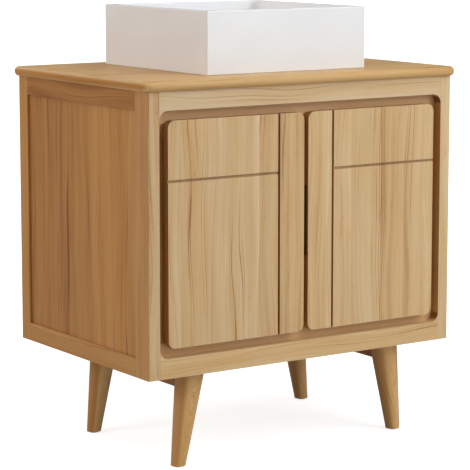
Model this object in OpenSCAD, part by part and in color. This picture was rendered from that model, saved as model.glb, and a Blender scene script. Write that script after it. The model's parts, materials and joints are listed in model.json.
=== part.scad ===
// Vanity cabinet on four splayed legs, with a square vessel basin on its wooden top.
// Millimetres. +X to the right, +Y to the wall, +Z up. The origin is on the floor, under the
// middle of the top slab; the doors face -Y.

/* [Cabinet body] */
// Width of the cabinet body
body_w = 730; // [660:2:900]
// Depth of the cabinet body
body_d = 500; // [480:2:560]
// Height of the cabinet body, legs and top slab not counted
body_h = 547; // [520:1:620]
// Clear height under the cabinet body
leg_h = 190; // [160:1:240]
// Width of a corner post, seen from the front
post_w = 26; // [24:1:34]
// Depth of a front corner post, seen from the side
front_post_d = 45; // [43:1:60]
// Depth of a back corner post, seen from the side
back_post_d = 34; // [32:1:50]
// Height of the face's top rail
top_rail_h = 36; // [30:1:50]
// Height of the face's bottom rail
bottom_rail_h = 38; // [30:1:50]
// Radius of the front posts' outer edges
post_edge_r = 4; // [1:0.5:5]
// Radius of the round corners of the door opening
opening_r = 19; // [6:1:24]
// How far the side panels lie behind the posts and rails
panel_recess = 5; // [2:1:7]

/* [Top slab] */
// Thickness of the top slab, which is also the diameter of its bullnose
slab_t = 20; // [16:1:30]
// How far the slab stands out past the front and the sides
slab_over = 10; // [4:1:20]
// Radius of the slab's front corners, seen from above
slab_r = 18; // [16:1:40]

/* [Doors] */
// Thickness of a door
door_t = 16; // [14:1:18]
// Gap all round between the doors and the opening
door_gap = 19; // [18:1:24]
// Gap between the two doors
centre_gap = 10; // [8:1:14]
// Radius of a door's corners
door_r = 15; // [4:1:22]
// Space between a closed door and the inner frame behind it
back_gap = 5; // [5:0.5:6]
// Distance of the upright groove from the door's free edge
groove_in = 60; // [40:1:90]
// Height of the level groove above the cabinet's underside
groove_z = 377; // [340:1:410]
// Length of the finger pull in the meeting edges
pull_len = 138; // [80:1:180]
// Depth of the finger pull into a door's edge
pull_d = 12; // [8:1:20]
// Thickness of the door's front lip over the finger pull
pull_lip = 5; // [4:0.5:7]

/* [Legs] */
// Diameter of a leg where it meets the cabinet
leg_top_d = 57.4; // [44:0.2:60]
// Diameter of a leg at the floor
leg_foot_d = 28.6; // [22:0.2:36]
// Distance of a leg's top from the cabinet's side
leg_in = 127; // [110:1:150]
// How far a leg's foot stands outside its top
leg_splay = 28; // [0:1:40]
// Distance of the front legs from the cabinet's front
leg_front_in = 54.5; // [48:0.5:80]
// Distance of the back legs from the cabinet's back
leg_back_in = 120; // [70:1:130]
// Width of a leg rail
leg_rail_w = 48; // [36:1:48]
// Height of a leg rail
leg_rail_h = 34; // [24:1:44]

/* [Basin] */
// Width of the basin
basin_w = 382; // [340:2:400]
// Depth of the basin, front to back
basin_d = 384; // [340:2:400]
// Height of the basin
basin_h = 124; // [100:1:150]
// Thickness of the basin's walls at the rim
basin_wall = 12; // [9:1:16]
// Distance of the basin from the cabinet's front
basin_front_in = 63; // [50:1:66]
// Radius of the bowl's inner corners and of its floor's edge
bowl_r = 20; // [12:1:30]

/* [Drain] */
// Outer diameter of the waste's threaded pipe
waste_d = 42; // [40:0.5:44]
// How far the plug rises when it opens
plug_lift = 8; // [5:1:9]
// Height of the wall outlet pipe above the floor
outlet_z = 590; // [570:1:610]
// Outer diameter of the wall outlet pipe
outlet_d = 32; // [30:1:34]

/* [Hidden] */
$fn = 64;
eps = 0.5;              // how far a cutting shape runs past the face it cuts

// Levels and planes of the cabinet
slab_w = body_w + 2 * slab_over;
slab_d = body_d + slab_over;
y_slab = -slab_d / 2;               // front of the slab
y_face = y_slab + slab_over;        // front of the body
y_back = slab_d / 2;                // back of the body and of the slab
z_body_top = leg_h + body_h;
z_slab_top = z_body_top + slab_t;
x_side = body_w / 2;                // outside of the body
x_open = x_side - post_w;           // side of the door opening
z_open_low = leg_h + bottom_rail_h;
z_open_top = z_body_top - top_rail_h;

// Face and inner frame
face_t = door_t + back_gap;         // the inner frame starts behind this
inner_t = 18;                       // thickness of the inner frame's timbers
inner_show = 27;                    // how far the inner frame reaches into the opening
mullion_w = 55;
y_inner = y_face + face_t;
y_inside = y_inner + inner_t;       // the cabinet's inside starts here
z_inner_low = z_open_low + inner_show;
z_inner_top = z_open_top - inner_show;

// Side and back
panel_t = 12;
panel_in_groove = 8;
panel_drop = 1;                     // the side's bottom rail is this much lower than the face's
back_t = 6;
back_recess = 4;
back_rebate = 12;
back_rail_t = 18;
fixing_rail_h = 60;
back_bottom_rail_h = 60;
y_back_rails = y_back - back_recess - back_t;   // the back panel's front face
cutout_w = 260;
cutout_low = 270;                   // above the cabinet's underside
cutout_top = 470;
fixing_spacing = 400;
fixing_hole_r = 4;
fixing_z = z_body_top - 30;

// Inside
bottom_t = 18;
shelf_t = 16;
shelf_z = leg_h + 200;              // underside of the shelf
shelf_clear = 2;                    // play at each end of the shelf
shelf_pin_r = 2.5;
shelf_pin_in = 8;                   // length of a pin inside the panel, and of its free end
shelf_pin_front = 100;              // the front pins' distance from the face
shelf_pin_back = 90;                // the back pins' distance from the back
shelf_play = 4;                     // air between the shelf and the posts

// Doors: size, and the axis of the left door's hinges
door_w = (2 * x_open - 2 * door_gap - centre_gap) / 2;
door_h = z_open_top - z_open_low - 2 * door_gap;
z_door = z_open_low + door_gap;
x_door = x_open - door_gap;         // outer edge of a door
hinge_in = 1.5;                     // the hinge's axis lies this far inside the door's edge
x_hinge = x_door - hinge_in;
y_hinge = y_face + door_t + back_gap / 2;
hinge_h = 50;
hinge_end = 60;                     // from a door's end to the middle of its hinge
hinge_zs = [z_door + hinge_end, z_door + door_h - hinge_end];
leaf_t = 1.2;
leaf_w = 24;
leaf_screw_in = 7;                  // distance of a door leaf's screws from its edge
leaf_short = 2;                     // how far a frame leaf ends before the stile's back
knuckle_air = 0.3;                  // air between a leaf and the other leaf's knuckles
knuckle_r = back_gap / 2 - 0.4;
pin_r = 0.9;
pin_play = 0.04;
pin_head_r = knuckle_r - 0.4;
pin_head_t = 1;
knuckle_gap = 0.3;
hinge_screw_r = 1.4;
hinge_screw_head_r = 2.7;
hinge_screw_head_t = 1.2;
hinge_screw_len = 12;
hinge_screw_dz = 15;                // a leaf's two screws lie this far above and below its middle
groove_w = 4.8;
groove_d = 7;
level_groove_w = 5.2;
level_groove_d = 3;
pull_z = z_door + door_h / 2 + 2;   // middle of the finger pull, a little above the door's middle

// Catches and bumpers
catch_r = 6;
catch_x = 16;
catch_z = z_inner_top - 14;         // near the mullion's top
strike_t = 1.2;
catch_play = 0.3;                   // air between a closed door and what stops it
catch_in = 8;                       // how deep a magnet sits in the mullion
bumper_r = 4;
bumper_zs = [z_inner_low + 12, catch_z - 30];

// Legs
leg_x = x_side - leg_in;
leg_y_front = y_face + leg_front_in;
leg_y_back = y_back - leg_back_in;
leg_tilt = atan(leg_splay / leg_h);
leg_len = norm([leg_splay, leg_h]);
leg_rail_out = 3;                   // the rail's middle lies this far outside the leg's top
glide_t = 2;
glide_r = 9;
glide_nail_r = 1.5;
glide_nail_len = 12;
leg_bolt_r = 4;
leg_bolt_in = 45;                   // length of the bolt inside the leg
nut_t = 6.5;
leg_nut_r = 7.5;
washer_t = 1.6;
washer_r = 9;
bolt_past_nut = 2;

// Basin and bowl
basin_y0 = y_face + basin_front_in;
basin_y = basin_y0 + basin_d / 2;   // the drain's axis lies here
z_basin = z_slab_top;
z_rim = z_basin + basin_h;
bowl_floor_t = 22;
z_bowl = z_basin + bowl_floor_t;
basin_corner_r = 3;
foot_w = 14;                        // width of the rim that the basin stands on
foot_recess = 10;
boss_r = 42;
seal_w = 6;
seal_t = 5;

// Drain, from the bowl down to the wall outlet
flange_r = 32;
flange_t = 2.5;
flange_bevel = 2;
gasket_t = 1.5;
gasket_in = 1;                      // the gasket ends this far inside the flange's edge
waste_r = waste_d / 2;
waste_wall = 3.5;
basin_hole_r = waste_r + 1.5;
slab_hole_r = waste_r + 4;
z_flange = z_bowl + gasket_t;
z_waste_low = z_body_top - 57;
stem_r = 3;
stem_play = 0.05;
stem_below = 14;                    // the open plug's stem reaches this far under the guide
stem_foot_r = 5;
stem_foot_t = 3;
guide_r = 6.5;
guide_h = 16;
guide_rib_t = 3;
guide_z = z_flange - 24;
plug_r = 30;
plug_t = 3;
plug_dome = 3;
plug_gap = 0.4;
under_gasket_t = 3;
under_gasket_r = 35;
nut_r = 33;
nut_h = 10;
trap_r = 32;
trap_wall = 3;
shoulder_h = 8;                     // height of the trap body's sloping shoulder
neck_r = 19;
neck_wall = 2.5;
neck_lip_r = 23;
neck_lip_t = 3;
seal_ring_t = 1;
trap_top = outlet_z + 42;
trap_low = outlet_z - 42;
dip_low = outlet_z - outlet_d / 2 - 50;         // the water seal is 50 mm deep
cup_r = trap_r + 4;
cup_low = outlet_z - 88;
cup_wall = 3;
cup_overlap = 16;
cup_seat = 4;                       // depth of the cup's recess for its seal
cup_seal_t = 1;
cup_seal_h = 3;
cup_bevel = 8;
inlet_nut_r = 29;
inlet_nut_over = 14;                // length of thread that the inlet nut covers
inlet_nut_end = 4;                  // thickness of its closed end
inlet_nut_bevel = 2;
lip_play = 0.3;
socket_r = 20;
socket_end = 58;                    // from the trap's axis
outlet_nut_r = 25;
outlet_nut_l = 18;
outlet_nut_end = 3;                 // thickness of its closed end
outlet_nut_bevel = 1;
outlet_seal_t = 3;
pipe_wall = 2;
pipe_in = 8;                        // the pipe starts this far outside the trap's wall

// Screws of the cabinet
slab_screw_r = 2;
slab_screw_head_r = 3.5;
slab_screw_len = 12;                // length inside the slab
slab_screw_sink = 20;               // depth of the counterbore under a side top rail
slab_screw_in = 4.5;                // distance of its axis from the rail's inner face
slab_screw_head_t = 3;
slab_screw_front = 110;             // the front screws' distance from the face
slab_screw_back = 100;              // the back screws' distance from the back
rail_screw_r = 2.5;
rail_screw_head_r = 5;
rail_screw_head_t = 3;
rail_screw_sink = 14;
rail_screw_in = 12;                 // length inside the bottom panel
rail_screw_len = leg_rail_h - rail_screw_sink + rail_screw_in;
rail_screw_from_leg = 90;
back_screw_r = 1.5;
back_screw_len = 14;
back_screw_head_r = 3.2;
back_screw_head_t = 1.6;
back_screw_end = 110;               // from the body's top or underside to a post's end screws
back_screw_low = 30;                // height of the bottom rail's screws above the underside
back_screw_top = 14;                // the fixing rail's screws lie this far under the top

wood = "burlywood";
dark_wood = "peru";
metal = "silver";

// ---------------------------------------------------------------- shared shapes

// A rectangle from (0, 0) with round corners
module round_rect(w, h, r) {
    translate([r, 0]) square([w - 2 * r, h]);
    translate([0, r]) square([w, h - 2 * r]);
    for (x = [r, w - r], y = [r, h - r]) translate([x, y]) circle(r);
}

// A block given by its two opposite corners
module block(low, high) {
    translate(low) cube(high - low);
}

// The concave quarter that rounds an inner corner at (0, 0), which opens to +X +Y
module corner_fillet(r) {
    difference() {
        square(r);
        translate([r, r]) circle(r);
    }
}

// Draws the left side's shape as it is (s = -1), or mirrored for the right side (s = 1)
module on_side(s) {
    if (s > 0)
        mirror([1, 0, 0]) children();
    else
        children();
}

// A rod along +Y from the origin
module rod_y(r, l) {
    rotate([-90, 0, 0]) cylinder(r = r, h = l);
}

// A pan-head screw that points along +Z, with its head's underside at the origin
module screw(r, l, head_r, head_t) {
    cylinder(r = r, h = l);
    translate([0, 0, -head_t]) cylinder(r = head_r, h = head_t);
}

// ---------------------------------------------------------------- basin and drain

// The bowl's hollow: a block with round upright corners and a rounded floor edge
module bowl_space() {
    w = basin_w - 2 * basin_wall;
    d = basin_d - 2 * basin_wall;
    top = z_rim + eps;
    low = z_bowl + bowl_r;
    translate([-w / 2, basin_y - d / 2, low])
        linear_extrude(top - low) round_rect(w, d, bowl_r);
    translate([-w / 2, basin_y - d / 2, z_bowl]) {
        translate([bowl_r, bowl_r, 0]) cube([w - 2 * bowl_r, d - 2 * bowl_r, 2 * bowl_r]);
        for (y = [bowl_r, d - bowl_r])
            translate([bowl_r, y, bowl_r]) rotate([0, 90, 0]) cylinder(r = bowl_r, h = w - 2 * bowl_r);
        for (x = [bowl_r, w - bowl_r])
            translate([x, bowl_r, bowl_r]) rotate([-90, 0, 0]) cylinder(r = bowl_r, h = d - 2 * bowl_r);
        for (x = [bowl_r, w - bowl_r], y = [bowl_r, d - bowl_r])
            translate([x, y, bowl_r]) sphere(bowl_r);
    }
}

module basin() {
    color("white") difference() {
        translate([-basin_w / 2, basin_y0, z_basin])
            linear_extrude(basin_h) round_rect(basin_w, basin_d, basin_corner_r);
        bowl_space();
        difference() {
            translate([-basin_w / 2 + foot_w, basin_y0 + foot_w, z_basin - eps])
                cube([basin_w - 2 * foot_w, basin_d - 2 * foot_w, foot_recess + eps]);
            translate([0, basin_y, z_basin - 1]) cylinder(r = boss_r, h = foot_recess + 2);
        }
        translate([0, basin_y, z_basin - 1]) cylinder(r = basin_hole_r, h = bowl_floor_t + 2);
    }
}

// Silicone bead against the inside of the basin's foot
module basin_seal() {
    color("whitesmoke") difference() {
        translate([-basin_w / 2 + foot_w, basin_y0 + foot_w, z_basin])
            cube([basin_w - 2 * foot_w, basin_d - 2 * foot_w, seal_t]);
        translate([-basin_w / 2 + foot_w + seal_w, basin_y0 + foot_w + seal_w, z_basin - eps])
            cube([basin_w - 2 * (foot_w + seal_w), basin_d - 2 * (foot_w + seal_w), seal_t + 2 * eps]);
    }
}

// Flange, threaded pipe and the cross that guides the plug's stem
module waste_body() {
    color(metal) translate([0, basin_y, 0]) {
        rotate_extrude() polygon([
            [waste_r - waste_wall, z_waste_low], [waste_r, z_waste_low], [waste_r, z_flange],
            [flange_r, z_flange], [flange_r, z_flange + flange_t / 2],
            [flange_r - flange_bevel, z_flange + flange_t],
            [waste_r - waste_wall, z_flange + flange_t]
        ]);
        difference() {
            translate([0, 0, guide_z]) union() {
                cylinder(r = guide_r, h = guide_h);
                for (a = [0, 120, 240]) rotate(a) translate([0, -guide_rib_t / 2, 0])
                    cube([waste_r - waste_wall / 2, guide_rib_t, guide_h]);
            }
            translate([0, 0, guide_z - eps]) cylinder(r = stem_r + stem_play, h = guide_h + 2 * eps);
        }
    }
}

module ring(r_in, r_out, z, h) {
    translate([0, basin_y, z]) difference() {
        cylinder(r = r_out, h = h);
        translate([0, 0, -eps]) cylinder(r = r_in, h = h + 2 * eps);
    }
}

module drain_seals() {
    color("dimgray") {
        ring(basin_hole_r, flange_r - gasket_in, z_bowl, gasket_t);
        ring(waste_r, under_gasket_r, z_body_top - under_gasket_t, under_gasket_t);
        ring(neck_r - neck_wall, waste_r, z_waste_low - seal_ring_t, seal_ring_t);
        ring(trap_r, trap_r + cup_seal_t, trap_low + cup_overlap - cup_seat, cup_seal_h);
        translate([0, basin_y + socket_end, outlet_z]) rotate([-90, 0, 0]) difference() {
            cylinder(r = socket_r - 1, h = outlet_seal_t);
            translate([0, 0, -eps]) cylinder(r = outlet_d / 2, h = outlet_seal_t + 2 * eps);
        }
    }
}

module waste_nut() {
    color(metal) translate([0, basin_y, z_body_top - under_gasket_t - nut_h]) difference() {
        cylinder(r = nut_r, h = nut_h, $fn = 6);
        translate([0, 0, -eps]) cylinder(r = waste_r, h = nut_h + 2 * eps);
    }
}

// The click plug's cap
module waste_plug() {
    z0 = z_flange + flange_t + plug_gap;
    dome_r = (pow(plug_r - 1, 2) + pow(plug_dome, 2)) / (2 * plug_dome);
    color(metal) translate([0, basin_y, z0]) {
        cylinder(r = plug_r, h = plug_t);
        translate([0, 0, plug_t]) intersection() {
            translate([0, 0, plug_dome - dome_r]) sphere(dome_r, $fn = 128);
            cylinder(r = plug_r, h = plug_dome + 1);
        }
    }
}

module plug_stem() {
    z_low = guide_z - plug_lift - stem_below;
    z_high = z_flange + flange_t + plug_gap;
    color("darkgray") translate([0, basin_y, 0]) {
        translate([0, 0, z_low]) cylinder(r = stem_r, h = z_high - z_low);
        translate([0, 0, z_low]) cylinder(r = stem_foot_r, h = stem_foot_t);
    }
}

module trap_inlet_nut() {
    z_seat = z_waste_low - seal_ring_t - neck_lip_t;
    z_low = z_seat - inlet_nut_end;
    z_top = z_waste_low + inlet_nut_over;
    r_out = inlet_nut_r;
    r_lip = neck_lip_r + lip_play;
    bevel = inlet_nut_bevel;
    color("white") translate([0, basin_y, 0]) rotate_extrude() polygon([
        [neck_r, z_low], [r_out - bevel, z_low], [r_out, z_low + bevel], [r_out, z_top - bevel],
        [r_out - bevel, z_top], [waste_r, z_top], [waste_r, z_waste_low], [r_lip, z_waste_low],
        [r_lip, z_seat], [neck_r, z_seat]
    ]);
}

// Bottle body: neck, shoulder, wall and dip tube in one turning, with the outlet socket at its side
module trap_body() {
    z_neck = z_waste_low - seal_ring_t;
    dip_r = neck_r - neck_wall;
    socket_start = trap_r - trap_wall / 2;
    color("white") translate([0, basin_y, 0]) difference() {
        union() {
            rotate_extrude() polygon([
                [dip_r, dip_low], [neck_r, dip_low], [neck_r, trap_top - trap_wall],
                [trap_r - trap_wall, trap_top - shoulder_h - 1], [trap_r - trap_wall, trap_low],
                [trap_r, trap_low], [trap_r, trap_top - shoulder_h],
                [neck_r + trap_wall, trap_top], [neck_r, trap_top],
                [neck_r, z_neck - neck_lip_t], [neck_lip_r, z_neck - neck_lip_t], [neck_lip_r, z_neck],
                [dip_r, z_neck]
            ]);
            translate([0, socket_start, outlet_z]) rod_y(socket_r, socket_end - socket_start);
        }
        translate([0, neck_r + trap_wall, outlet_z]) rod_y(outlet_d / 2, socket_end);
    }
}

// Screw-off cup that holds the water seal
module trap_cup() {
    z_top = trap_low + cup_overlap;
    z_seat = z_top - cup_seat;
    r_in = trap_r - cup_wall;
    color("gainsboro") translate([0, basin_y, 0]) rotate_extrude() polygon([
        [0, cup_low], [cup_r - cup_bevel, cup_low], [cup_r, cup_low + cup_bevel], [cup_r, z_top],
        [trap_r + cup_seal_t, z_top], [trap_r + cup_seal_t, z_seat], [trap_r, z_seat], [trap_r, trap_low],
        [r_in, trap_low], [r_in, cup_low + cup_bevel], [r_in - cup_bevel + cup_wall, cup_low + cup_wall],
        [0, cup_low + cup_wall]
    ]);
}

module trap_outlet_nut() {
    r_out = outlet_nut_r;
    bevel = outlet_nut_bevel;
    y_end = socket_end + outlet_seal_t + outlet_nut_end;
    y_start = y_end - outlet_nut_l;
    color("white") translate([0, basin_y, outlet_z]) rotate([-90, 0, 0]) rotate_extrude() polygon([
        [socket_r, y_start], [r_out - bevel, y_start], [r_out, y_start + bevel], [r_out, y_end - bevel],
        [r_out - bevel, y_end], [outlet_d / 2, y_end], [outlet_d / 2, y_end - outlet_nut_end],
        [socket_r, y_end - outlet_nut_end]
    ]);
}

// Straight pipe from the trap's socket to the plane of the cabinet's back
module outlet_pipe() {
    start = basin_y + trap_r + pipe_in;
    color("white") translate([0, start, outlet_z]) difference() {
        rod_y(outlet_d / 2, y_back - start);
        translate([0, -eps, 0]) rod_y(outlet_d / 2 - pipe_wall, y_back - start + 2 * eps);
    }
}

// ---------------------------------------------------------------- top slab

// Plan of the slab, shrunk by a margin on the front and the two sides
module slab_plan(margin) {
    w = slab_w - 2 * margin;
    d = slab_d - margin;
    r = slab_r - margin;
    translate([-w / 2, y_slab + margin]) {
        translate([0, r]) square([w, d - r]);
        translate([r, 0]) square([w - 2 * r, r + 1]);
        for (x = [r, w - r]) translate([x, r]) circle(r);
    }
}

// Half-round nosing along the front and the sides, and round the two front corners
module slab_nosing() {
    r = slab_t / 2;
    y0 = y_slab + slab_r;
    xc = slab_w / 2 - slab_r;
    translate([0, 0, z_body_top + r]) {
        translate([-xc, y_slab + r, 0]) rotate([0, 90, 0]) cylinder(r = r, h = 2 * xc);
        for (s = [-1, 1]) {
            translate([s * (slab_w / 2 - r), y0, 0]) rod_y(r, y_back - y0);
            translate([s * xc, y0, 0]) intersection() {
                rotate_extrude() intersection() {
                    translate([slab_r - r, 0]) circle(r);
                    translate([0, -r]) square([slab_r, 2 * r]);
                }
                translate([s > 0 ? 0 : -slab_r, -slab_r, -r]) cube([slab_r, slab_r, 2 * r]);
            }
        }
    }
}

module top_slab() {
    color("sandybrown") difference() {
        union() {
            translate([0, 0, z_body_top]) linear_extrude(slab_t) slab_plan(slab_t / 2);
            slab_nosing();
        }
        translate([0, basin_y, z_body_top - eps]) cylinder(r = slab_hole_r, h = slab_t + 2 * eps);
        for_slab_screws() translate([0, 0, -eps]) cylinder(r = slab_screw_r, h = slab_screw_len + eps);
    }
}

// ---------------------------------------------------------------- cabinet frame

// The left side panel, with the edges that sit in the grooves of posts and rails
module side_panel_space() {
    x0 = -x_side + panel_recess;
    block(
        [x0, y_face + front_post_d - panel_in_groove, z_open_low - panel_drop - panel_in_groove],
        [x0 + panel_t, y_back - back_post_d + panel_in_groove, z_open_top + panel_in_groove]
    );
}

module front_post(s) {
    color(wood) on_side(s) difference() {
        translate([-x_side, y_face, leg_h]) linear_extrude(body_h) difference() {
            square([post_w, front_post_d]);
            corner_fillet(post_edge_r);
        }
        side_panel_space();
    }
}

module back_post(s) {
    color(wood) on_side(s) difference() {
        block([-x_side, y_back - back_post_d, leg_h], [-x_open, y_back, z_body_top]);
        side_panel_space();
        block(
            [-x_open - back_rebate, y_back_rails, leg_h - eps],
            [-x_open + eps, y_back + eps, z_body_top + eps]
        );
        for_back_screws() back_screw_hole();
    }
}

module side_rail(s, low, high) {
    color(wood) on_side(s) difference() {
        block([-x_side, y_face + front_post_d, low], [-x_open, y_back - back_post_d, high]);
        side_panel_space();
        for_slab_screws() slab_screw_hole();
    }
}

module side_panel(s) {
    color("tan") on_side(s) difference() {
        side_panel_space();
        for_shelf_pins() rotate([0, -90, 0]) cylinder(r = shelf_pin_r, h = shelf_pin_in);
    }
}

module face_top_rail() {
    color(wood) translate([-x_open, y_inner, z_open_top]) rotate([90, 0, 0]) linear_extrude(face_t) {
        square([2 * x_open, top_rail_h]);
        mirror([0, 1]) corner_fillet(opening_r);
        translate([2 * x_open, 0]) rotate(180) corner_fillet(opening_r);
    }
}

module face_bottom_rail() {
    color(wood) translate([-x_open, y_inner, leg_h]) rotate([90, 0, 0]) linear_extrude(face_t) {
        square([2 * x_open, bottom_rail_h]);
        translate([0, bottom_rail_h]) corner_fillet(opening_r);
        translate([2 * x_open, bottom_rail_h]) mirror([1, 0]) corner_fillet(opening_r);
    }
}

module inner_stile(s) {
    color(wood) on_side(s) difference() {
        block([-x_open, y_inner, z_inner_low], [-x_open + inner_show, y_inside, z_inner_top]);
        for_frame_screws() rotate([0, -90, 0]) cylinder(r = hinge_screw_r, h = hinge_screw_len);
    }
}

module inner_top_rail() {
    color(wood) block([-x_open, y_inner, z_inner_top], [x_open, y_inside, z_body_top]);
}

module inner_bottom_rail() {
    color(wood) block([-x_open, y_inner, leg_h], [x_open, y_inside, z_inner_low]);
}

module centre_mullion() {
    color(wood) difference() {
        block([-mullion_w / 2, y_inner, z_inner_low], [mullion_w / 2, y_inside, z_inner_top]);
        for (s = [-1, 1]) translate([s * catch_x, y_inner - eps, catch_z]) rod_y(catch_r, catch_in + eps);
    }
}

// ---------------------------------------------------------------- back, bottom and shelf

module back_panel() {
    color("tan") difference() {
        block(
            [-x_open - back_rebate, y_back_rails, leg_h],
            [x_open + back_rebate, y_back_rails + back_t, z_body_top]
        );
        block(
            [-cutout_w / 2, y_back_rails - eps, leg_h + cutout_low],
            [cutout_w / 2, y_back, leg_h + cutout_top]
        );
        for_fixing_holes() rod_y(fixing_hole_r, body_d);
        for_back_screws() back_screw_hole();
    }
}

module back_fixing_rail() {
    color(wood) difference() {
        block(
            [-x_open, y_back_rails - back_rail_t, z_body_top - fixing_rail_h],
            [x_open, y_back_rails, z_body_top]
        );
        for_fixing_holes() rod_y(fixing_hole_r, body_d);
        for_back_screws() back_screw_hole();
    }
}

module back_bottom_rail() {
    color(wood) difference() {
        block(
            [-x_open, y_back_rails - back_rail_t, leg_h],
            [x_open, y_back_rails, leg_h + back_bottom_rail_h]
        );
        for_back_screws() back_screw_hole();
    }
}

module bottom_panel() {
    color("tan") difference() {
        block([-x_open, y_inside, leg_h], [x_open, y_back_rails - back_rail_t, leg_h + bottom_t]);
        for_legs() cylinder(r = leg_bolt_r, h = leg_h + body_h);
        for_rail_screws() cylinder(r = rail_screw_r, h = rail_screw_len);
    }
}

module shelf() {
    x = x_side - panel_recess - panel_t - shelf_clear;
    color("tan") block(
        [-x, y_face + front_post_d + shelf_play, shelf_z],
        [x, y_back - back_post_d - shelf_play, shelf_z + shelf_t]
    );
}

// Left-side shelf pins: at the panel's inner face, on the axis of each pin
module for_shelf_pins() {
    for (y = [y_face + shelf_pin_front, y_back - shelf_pin_back])
        translate([-x_side + panel_recess + panel_t, y, shelf_z - shelf_pin_r]) children();
}

module shelf_pins() {
    color(metal) for (s = [-1, 1]) on_side(s) for_shelf_pins()
        translate([-shelf_pin_in, 0, 0]) rotate([0, 90, 0]) cylinder(r = shelf_pin_r, h = 2 * shelf_pin_in);
}

// ---------------------------------------------------------------- doors

// The left door; the right door is its mirror image
module door(s) {
    x0 = -x_door;
    x_free = x0 + door_w;
    color(wood) on_side(s) difference() {
        translate([x0, y_face + door_t, z_door]) rotate([90, 0, 0])
            linear_extrude(door_t) round_rect(door_w, door_h, door_r);
        block(
            [x_free - groove_in - groove_w / 2, y_face - eps, z_door - eps],
            [x_free - groove_in + groove_w / 2, y_face + groove_d, z_door + door_h + eps]
        );
        block(
            [x0 - eps, y_face - eps, leg_h + groove_z - level_groove_w / 2],
            [x_free - groove_in, y_face + level_groove_d, leg_h + groove_z + level_groove_w / 2]
        );
        block(
            [x_free - pull_d, y_face + pull_lip, pull_z - pull_len / 2],
            [x_free + eps, y_face + door_t + eps, pull_z + pull_len / 2]
        );
        for_door_screws() rotate([90, 0, 0]) cylinder(r = hinge_screw_r, h = hinge_screw_len);
    }
}

// Left door's hinges: children stand on the hinge's axis, at the hinge's middle
module for_hinges() {
    for (z = hinge_zs) translate([-x_hinge, y_hinge, z]) children();
}

// Places of the screws in the door leaves, on the leaf's inner face
module for_door_screws() {
    for_hinges() for (dz = [-hinge_screw_dz, hinge_screw_dz])
        translate([leaf_w - leaf_screw_in, -back_gap / 2, dz]) children();
}

// Places of the screws in the frame leaves, on the inner stile's side
module for_frame_screws() {
    for (z = hinge_zs, dz = [-hinge_screw_dz, hinge_screw_dz])
        translate([-x_open + inner_show, y_inner + inner_t / 2, z + dz]) children();
}

// Knuckles of one leaf; the frame's leaf has the two outer ones
module knuckles(outer, bore_r) {
    step = hinge_h / 3;
    spans = outer ? [[0, 1], [2, 3]] : [[1, 2]];
    difference() {
        for (k = spans)
            translate([0, 0, -hinge_h / 2 + k[0] * step + knuckle_gap / 2])
                cylinder(r = knuckle_r, h = (k[1] - k[0]) * step - knuckle_gap);
        translate([0, 0, -hinge_h]) cylinder(r = bore_r, h = 2 * hinge_h);
    }
}

// Cuts that keep a leaf clear of the other leaf's knuckles and of the pin
module knuckle_clearance(outer) {
    step = hinge_h / 3;
    r = knuckle_r + knuckle_air;
    spans = outer ? [[1, 2]] : [[0, 1], [2, 3]];
    for (k = spans)
        translate([-2 * r, -back_gap, -hinge_h / 2 + k[0] * step - knuckle_gap / 2])
            cube([3 * r, 2 * back_gap, (k[1] - k[0]) * step + knuckle_gap]);
}

module hinge_door_leaf() {
    h = back_gap / 2;
    difference() {
        translate([0, -h, -hinge_h / 2]) cube([leaf_w, leaf_t, hinge_h]);
        knuckle_clearance(false);
        cylinder(r = pin_r + pin_play, h = 3 * hinge_h, center = true);
        for (dz = [-hinge_screw_dz, hinge_screw_dz])
            translate([leaf_w - leaf_screw_in, -h - eps, dz]) rod_y(hinge_screw_r, leaf_t + 2 * eps);
    }
    knuckles(false, pin_r + pin_play);
}

// Front part on the stile's face, then round its edge and back along its side
module hinge_frame_leaf() {
    h = back_gap / 2;
    reach = x_hinge - x_open + inner_show;
    difference() {
        translate([0, 0, -hinge_h / 2]) linear_extrude(hinge_h) polygon([
            [0, h - leaf_t], [reach + leaf_t, h - leaf_t], [reach + leaf_t, h + inner_t - leaf_short],
            [reach, h + inner_t - leaf_short], [reach, h], [0, h]
        ]);
        knuckle_clearance(true);
        cylinder(r = pin_r, h = 3 * hinge_h, center = true);
        for (dz = [-hinge_screw_dz, hinge_screw_dz])
            translate([reach - eps, h + inner_t / 2, dz]) rotate([0, 90, 0])
                cylinder(r = hinge_screw_r, h = leaf_t + 2 * eps);
    }
    knuckles(true, pin_r);
}

module hinge_frame_leaves(s) {
    color(metal) on_side(s) for_hinges() hinge_frame_leaf();
}

module hinge_door_leaves(s) {
    color(metal) on_side(s) for_hinges() hinge_door_leaf();
}

module hinge_pins(s) {
    color("gray") on_side(s) for_hinges() {
        translate([0, 0, -hinge_h / 2]) cylinder(r = pin_r, h = hinge_h);
        for (z = [-hinge_h / 2 - pin_head_t, hinge_h / 2])
            translate([0, 0, z]) cylinder(r = pin_head_r, h = pin_head_t);
    }
}

module leaf_screw() {
    screw(hinge_screw_r, hinge_screw_len + leaf_t, hinge_screw_head_r, hinge_screw_head_t);
}

module hinge_screws_frame() {
    color(metal) for (s = [-1, 1]) on_side(s) for_frame_screws()
        translate([leaf_t, 0, 0]) rotate([0, -90, 0]) leaf_screw();
}

module door_screws(s) {
    color(metal) on_side(s) for_door_screws()
        translate([0, leaf_t, 0]) rotate([90, 0, 0]) leaf_screw();
}

// ---------------------------------------------------------------- catches and bumpers

module magnetic_catches() {
    proud = back_gap - strike_t - catch_play;
    color("gray") for (s = [-1, 1])
        translate([s * catch_x, y_inner - proud, catch_z]) rod_y(catch_r, proud + catch_in);
}

module strike_plate(s) {
    color(metal) translate([s * catch_x, y_face + door_t, catch_z]) rod_y(catch_r, strike_t);
}

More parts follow.
